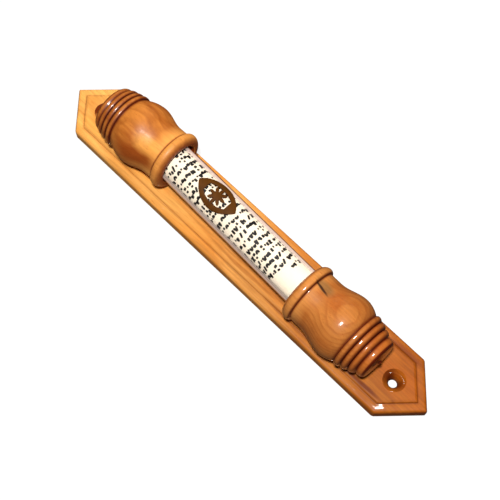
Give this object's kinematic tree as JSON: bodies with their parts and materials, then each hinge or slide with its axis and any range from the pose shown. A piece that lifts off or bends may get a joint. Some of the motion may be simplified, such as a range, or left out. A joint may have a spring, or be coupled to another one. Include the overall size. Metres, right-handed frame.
{
  "type": "mezuzah case",
  "caption": "Slim wooden wall case with pointed backboard ends, turned end caps and a clear lift-out tube holding a rolled parchment.",
  "frame": {"origin": "centre of the backboard's flat back face, midway between the two screw holes", "axes": "+Z out of the board towards the viewer, +Y towards the top of the case as it hangs, +X to the right as it hangs"},
  "size_m": [0.0384, 0.2504, 0.0394],
  "materials": {
    "board_wood": "clear gloss varnish on straight-grained light brown wood",
    "upper_cap_wood": "clear gloss varnish on turned wood",
    "lower_cap_wood": "clear gloss varnish on turned wood with a small knot",
    "clear_plastic": "clear polished plastic",
    "printed_paper": "smooth cream paper with rows of black pen strokes",
    "brown_film": "dark amber brown, slightly glossy",
    "parchment": "smooth pale parchment",
    "screw_steel": "zinc-plated steel"
  },
  "bodies": {
    "frame": {"backplate": "board_wood", "upper_cap": "upper_cap_wood", "lower_cap": "lower_cap_wood", "upper_cap_screws": "screw_steel", "lower_cap_screws": "screw_steel"},
    "roll": {"parchment_scroll": "parchment"},
    "tube": {"clear_tube": "clear_plastic", "printed_sheet": "printed_paper", "front_ornament": "brown_film"}
  },
  "joints": [
    {"name": "tube_lift", "type": "slide", "parent": "frame", "child": "roll", "axis": [0.0323, 0.9995, 0], "range_m": [0, 0.0095]},
    {"name": "tube_turn", "type": "hinge", "parent": "roll", "child": "tube", "pos_m": [-0.0002, 0, 0.022], "axis": [0.0323, 0.9995, 0], "continuous": true}
  ]
}
